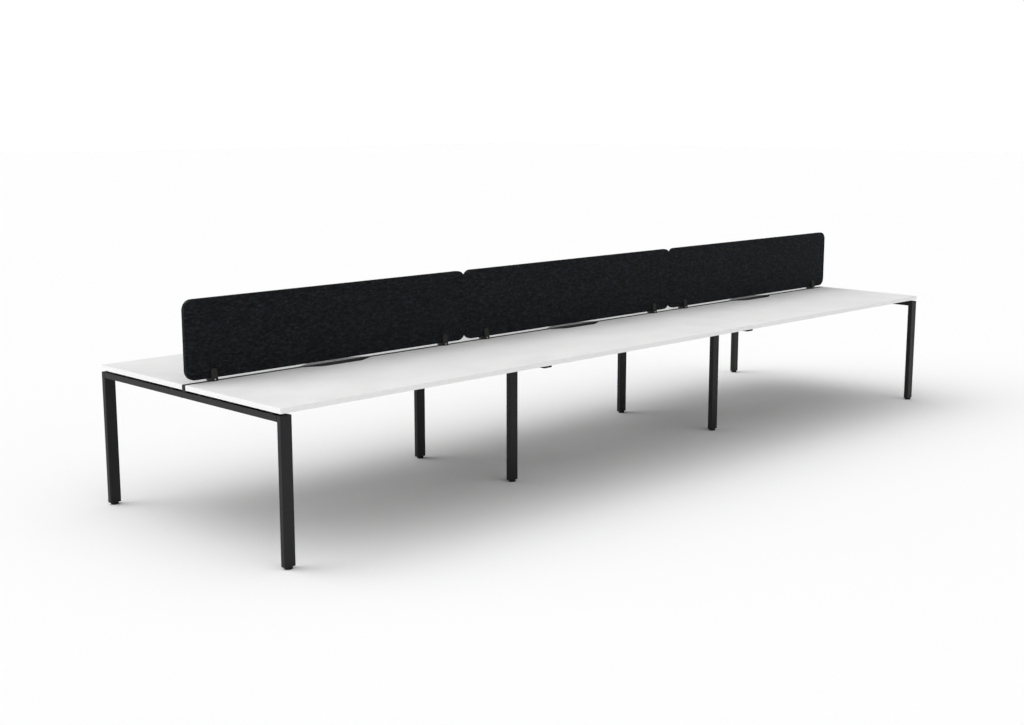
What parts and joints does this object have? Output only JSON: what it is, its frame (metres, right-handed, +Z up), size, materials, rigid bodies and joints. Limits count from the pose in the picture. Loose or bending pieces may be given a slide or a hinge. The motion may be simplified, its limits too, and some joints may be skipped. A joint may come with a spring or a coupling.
{
  "type": "back-to-back bench workstation",
  "caption": "Bench of white desks set back to back on a black tube frame, with dark fabric screens in clamp brackets along the middle.",
  "frame": {"origin": "on the floor under the middle of the bench", "axes": "+X along the bench to the right, +Z up, -Y towards the front side"},
  "size_m": [5.4, 1.54, 1.13],
  "materials": {
    "white_board": "white melamine-faced board with matching edge band, satin",
    "black_steel": "fine black powder coat",
    "black_aluminium": "black powder-coated extrusion",
    "black_plastic": "matte moulded",
    "charcoal_fabric": "woven fabric over a board",
    "bracket_grey": "dark grey coat, satin",
    "bright_zinc": "bright zinc plate"
  },
  "bodies": {
    "frame": {"desktop_front_left": "white_board", "desktop_back_left": "white_board", "desktop_front_middle": "white_board", "desktop_back_middle": "white_board", "desktop_front_right": "white_board", "desktop_back_right": "white_board", "end_leg_front_left": "black_steel", "end_leg_front_right": "black_steel", "end_leg_back_left": "black_steel", "end_leg_back_right": "black_steel", "end_rail_left": "black_steel", "end_rail_right": "black_steel", "middle_leg_front_left": "black_steel", "middle_leg_front_right": "black_steel", "middle_leg_back_left": "black_steel", "middle_leg_back_right": "black_steel", "middle_rail_left": "black_steel", "middle_rail_right": "black_steel", "rail_cap_front_left": "black_plastic", "rail_cap_front_right": "black_plastic", "rail_cap_back_left": "black_plastic", "rail_cap_back_right": "black_plastic", "beam_front_left": "black_steel", "beam_back_left": "black_steel", "beam_front_middle": "black_steel", "beam_back_middle": "black_steel", "beam_front_right": "black_steel", "beam_back_right": "black_steel", "centre_rail_left": "black_aluminium", "centre_rail_middle": "black_aluminium", "centre_rail_right": "black_aluminium", "centre_rail_cap_left": "black_plastic", "centre_rail_cap_right": "black_plastic", "screen_left": "charcoal_fabric", "screen_middle": "charcoal_fabric", "screen_right": "charcoal_fabric", "screen_bracket_left_1": "bracket_grey", "bracket_bolt_left_1": "bright_zinc", "screen_bracket_left_2": "bracket_grey", "bracket_bolt_left_2": "bright_zinc", "screen_bracket_middle_1": "bracket_grey", "bracket_bolt_middle_1": "bright_zinc", "screen_bracket_middle_2": "bracket_grey", "bracket_bolt_middle_2": "bright_zinc", "screen_bracket_right_1": "bracket_grey", "bracket_bolt_right_1": "bright_zinc", "screen_bracket_right_2": "bracket_grey", "bracket_bolt_right_2": "bright_zinc"},
    "end_foot_front_left": {"end_foot_front_left": "black_plastic"},
    "end_foot_front_right": {"end_foot_front_right": "black_plastic"},
    "end_foot_back_left": {"end_foot_back_left": "black_plastic"},
    "end_foot_back_right": {"end_foot_back_right": "black_plastic"},
    "middle_foot_front_left": {"middle_foot_front_left": "black_plastic"},
    "middle_foot_front_right": {"middle_foot_front_right": "black_plastic"},
    "middle_foot_back_left": {"middle_foot_back_left": "black_plastic"},
    "middle_foot_back_right": {"middle_foot_back_right": "black_plastic"}
  },
  "joints": [
    {"name": "end_level_front_left", "type": "slide", "parent": "frame", "child": "end_foot_front_left", "axis": [0, 0, -1], "range_m": [0, 0.015]},
    {"name": "end_level_front_right", "type": "slide", "parent": "frame", "child": "end_foot_front_right", "axis": [0, 0, -1], "range_m": [0, 0.015]},
    {"name": "end_level_back_left", "type": "slide", "parent": "frame", "child": "end_foot_back_left", "axis": [0, 0, -1], "range_m": [0, 0.015]},
    {"name": "end_level_back_right", "type": "slide", "parent": "frame", "child": "end_foot_back_right", "axis": [0, 0, -1], "range_m": [0, 0.015]},
    {"name": "middle_level_front_left", "type": "slide", "parent": "frame", "child": "middle_foot_front_left", "axis": [0, 0, -1], "range_m": [0, 0.015]},
    {"name": "middle_level_front_right", "type": "slide", "parent": "frame", "child": "middle_foot_front_right", "axis": [0, 0, -1], "range_m": [0, 0.015]},
    {"name": "middle_level_back_left", "type": "slide", "parent": "frame", "child": "middle_foot_back_left", "axis": [0, 0, -1], "range_m": [0, 0.015]},
    {"name": "middle_level_back_right", "type": "slide", "parent": "frame", "child": "middle_foot_back_right", "axis": [0, 0, -1], "range_m": [0, 0.015]}
  ]
}
